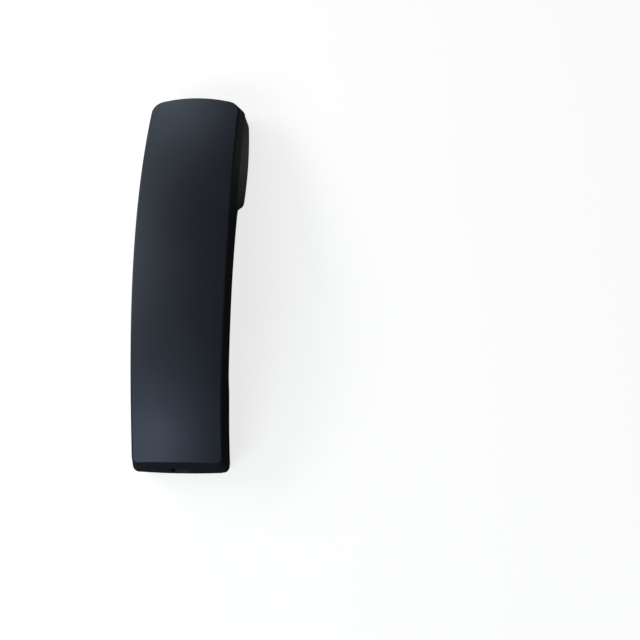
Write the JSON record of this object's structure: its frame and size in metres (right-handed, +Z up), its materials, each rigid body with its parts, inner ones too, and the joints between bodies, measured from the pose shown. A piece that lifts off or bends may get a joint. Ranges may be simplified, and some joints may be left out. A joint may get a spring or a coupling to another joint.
{
  "type": "telephone handset",
  "caption": "Corded telephone handset with a smooth arched back and a grip between an ear block and a mouth block, resting face down on both.",
  "frame": {"origin": "middle of the bounding box at its base: on the table under the middle of the handset", "axes": "+Y towards the earpiece end, +X to the right seen from above, +Z up through the arched back"},
  "size_m": [0.0524, 0.2, 0.0453],
  "materials": {
    "shell_plastic": "fine-textured matte blue-black plastic",
    "capsule_plastic": "smooth black moulded plastic",
    "jack_plastic": "glossy black nylon",
    "film": "thin amber film",
    "steel": "zinc-plated steel",
    "nickel": "nickel-plated magnet",
    "copper": "enamelled copper wire",
    "gold": "gold-plated spring wire",
    "can": "satin aluminium can",
    "rubber": "soft black rubber",
    "felt": "black acoustic cloth",
    "board": "green lacquered board",
    "ferrite": "dull grey ferrite",
    "lead_red": "red insulation",
    "lead_black": "black insulation",
    "lead_white": "white insulation",
    "lead_yellow": "yellow insulation"
  },
  "bodies": {
    "root": {"outer_shell": "shell_plastic", "inner_shell": "shell_plastic", "ear_cloth": "felt", "ear_gasket": "rubber", "receiver_cap": "capsule_plastic", "receiver_diaphragm": "film", "receiver_coil": "copper", "receiver_pole": "steel", "receiver_magnet": "nickel", "receiver_yoke": "steel", "receiver_frame": "capsule_plastic", "receiver_terminal": "board", "receiver_clamp": "steel", "clamp_screws": "steel", "mic_boot": "rubber", "mic_felt": "felt", "mic_capsule": "can", "jack_housing": "jack_plastic", "jack_contacts": "gold", "jack_board": "board", "board_filters": "ferrite", "board_screws": "steel", "ballast_weight": "steel", "ballast_screws": "steel", "shell_screws": "steel", "screw_plugs": "rubber", "receiver_lead_red": "lead_red", "receiver_lead_black": "lead_black", "mic_lead_white": "lead_white", "mic_lead_yellow": "lead_yellow"}
  },
  "joints": []
}
